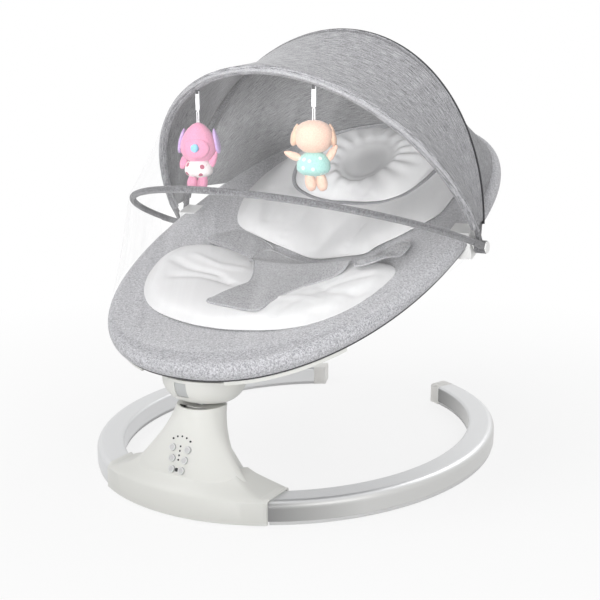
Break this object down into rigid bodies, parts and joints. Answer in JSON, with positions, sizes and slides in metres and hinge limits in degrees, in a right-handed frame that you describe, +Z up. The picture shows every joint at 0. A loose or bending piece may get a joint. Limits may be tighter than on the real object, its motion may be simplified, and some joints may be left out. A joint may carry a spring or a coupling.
{
  "type": "baby swing",
  "caption": "Electric baby swing: oval reclined seat on a hub that sways on a pedestal and open ring base, with folding canopy, net, harness and hanging toys.",
  "frame": {"origin": "floor plane under the middle of the object's box", "axes": "+Z up, +Y from the foot end to the head end, +X to the side seen on the right"},
  "size_m": [0.56, 0.7373, 0.6014],
  "materials": {
    "satin_aluminium": "satin",
    "foot_rubber": "matte",
    "white_plastic": "soft gloss",
    "steel": "brushed",
    "copper": "wound",
    "board": "matte",
    "dark_plastic": "matte",
    "lens": "gloss",
    "grey_plastic": "matte",
    "grey_melange": "woven melange",
    "grey_tube": "fabric sleeve",
    "white_cotton": "soft cotton",
    "net": "sheer net",
    "white_strap": "webbing",
    "pink_plush": "plush",
    "white_plush": "plush, dotted",
    "lilac_plush": "plush",
    "peach_plush": "plush",
    "mint_plush": "plush, dotted",
    "tan_plush": "plush"
  },
  "bodies": {
    "base": {"base_arm_left": "satin_aluminium", "base_arm_right": "satin_aluminium", "foot_strip_left": "foot_rubber", "foot_strip_right": "foot_rubber", "arm_end_caps": "white_plastic", "pedestal_front_cover": "white_plastic", "pedestal_rear_cover": "white_plastic", "pedestal_base_plate": "white_plastic", "foot_pads": "foot_rubber", "bearing_housing": "white_plastic", "drive_coil": "copper", "control_board": "board", "speaker": "dark_plastic", "power_inlet": "dark_plastic", "panel_lights": "lens", "sensor_window": "dark_plastic"},
    "hub": {"hub_cup": "white_plastic", "swing_shaft": "steel", "drive_lever": "white_plastic", "cross_pin": "steel"},
    "latch": {"latch_button": "grey_plastic"},
    "seat": {"seat_frame": "steel", "seat_bracket": "white_plastic", "seat_sling": "grey_melange", "lower_pad": "white_cotton", "body_pad": "white_cotton", "head_pillow": "white_cotton", "crotch_pad": "grey_melange", "harness_strap_left": "grey_melange", "harness_strap_right": "grey_melange", "canopy_bracket_left": "white_plastic", "canopy_bracket_right": "white_plastic"},
    "rear_bow": {"rear_bow": "grey_tube", "canopy_back": "grey_melange"},
    "front_bow": {"front_bow": "grey_tube", "canopy_fabric": "grey_melange"},
    "net_bow": {"net_bow": "grey_tube", "net_upper": "net", "net_lower": "net"},
    "toy_left": {"toy_left_strap": "white_strap", "toy_left_cord": "white_strap", "toy_left_head": "pink_plush", "toy_left_body": "white_plush", "toy_left_ears": "lilac_plush", "toy_left_arms": "pink_plush", "toy_left_legs": "pink_plush"},
    "toy_right": {"toy_right_strap": "white_strap", "toy_right_cord": "white_strap", "toy_right_head": "peach_plush", "toy_right_body": "mint_plush", "toy_right_ears": "tan_plush", "toy_right_arms": "peach_plush", "toy_right_legs": "peach_plush"},
    "button_upper_left": {"button_upper_left": "grey_plastic"},
    "button_upper_right": {"button_upper_right": "grey_plastic"},
    "button_middle_left": {"button_middle_left": "grey_plastic"},
    "button_middle_right": {"button_middle_right": "grey_plastic"},
    "button_lower_left": {"button_lower_left": "grey_plastic"},
    "button_lower_right": {"button_lower_right": "grey_plastic"}
  },
  "joints": [
    {"name": "swing", "type": "hinge", "parent": "base", "child": "hub", "pos_m": [0, -0.2896, 0.124], "axis": [0, 0.1392, 0.9903], "range_deg": [-15, 15]},
    {"name": "recline", "type": "hinge", "parent": "hub", "child": "seat", "pos_m": [0, -0.28584, 0.15074], "axis": [1, 0, 0], "range_deg": [-6, 2]},
    {"name": "latch_press", "type": "slide", "parent": "hub", "child": "latch", "axis": [0, 0.9903, -0.1392], "range_m": [0, 0.003], "stiffness_N_per_m": 600},
    {"name": "rear_bow_fold", "type": "hinge", "parent": "seat", "child": "rear_bow", "pos_m": [0, 0.0154, 0.302], "axis": [1, 0, 0], "range_deg": [-40, 0], "deforming": ["net_lower", "canopy_back"]},
    {"name": "front_bow_fold", "type": "hinge", "parent": "rear_bow", "child": "front_bow", "pos_m": [0, 0.0154, 0.302], "axis": [1, 0, 0], "range_deg": [-31, 0], "deforming": ["canopy_fabric"]},
    {"name": "net_bow_fold", "type": "hinge", "parent": "front_bow", "child": "net_bow", "pos_m": [0, 0.0154, 0.302], "axis": [1, 0, 0], "range_deg": [-22, 0], "deforming": ["net_upper"]},
    {"name": "toy_left_swing", "type": "hinge", "parent": "front_bow", "child": "toy_left", "pos_m": [-0.101, -0.14755, 0.51903], "axis": [1, 0, 0], "range_deg": [-20, 75]},
    {"name": "toy_right_swing", "type": "hinge", "parent": "front_bow", "child": "toy_right", "pos_m": [0.0835, -0.15237, 0.52544], "axis": [1, 0, 0], "range_deg": [-20, 75]},
    {"name": "button_upper_left_press", "type": "slide", "parent": "base", "child": "button_upper_left", "axis": [0, 0.9418, -0.3362], "range_m": [0, 0.001], "stiffness_N_per_m": 400},
    {"name": "button_upper_right_press", "type": "slide", "parent": "base", "child": "button_upper_right", "axis": [0, 0.9418, -0.3362], "range_m": [0, 0.001], "stiffness_N_per_m": 400},
    {"name": "button_middle_left_press", "type": "slide", "parent": "base", "child": "button_middle_left", "axis": [0, 0.9418, -0.3362], "range_m": [0, 0.001], "stiffness_N_per_m": 400},
    {"name": "button_middle_right_press", "type": "slide", "parent": "base", "child": "button_middle_right", "axis": [0, 0.9418, -0.3362], "range_m": [0, 0.001], "stiffness_N_per_m": 400},
    {"name": "button_lower_left_press", "type": "slide", "parent": "base", "child": "button_lower_left", "axis": [0, 0.9418, -0.3362], "range_m": [0, 0.001], "stiffness_N_per_m": 400},
    {"name": "button_lower_right_press", "type": "slide", "parent": "base", "child": "button_lower_right", "axis": [0, 0.9418, -0.3362], "range_m": [0, 0.001], "stiffness_N_per_m": 400}
  ],
  "couplings": [
    {"joint": "front_bow_fold", "follows": "rear_bow_fold", "ratio": 0.775},
    {"joint": "net_bow_fold", "follows": "rear_bow_fold", "ratio": 0.55}
  ]
}
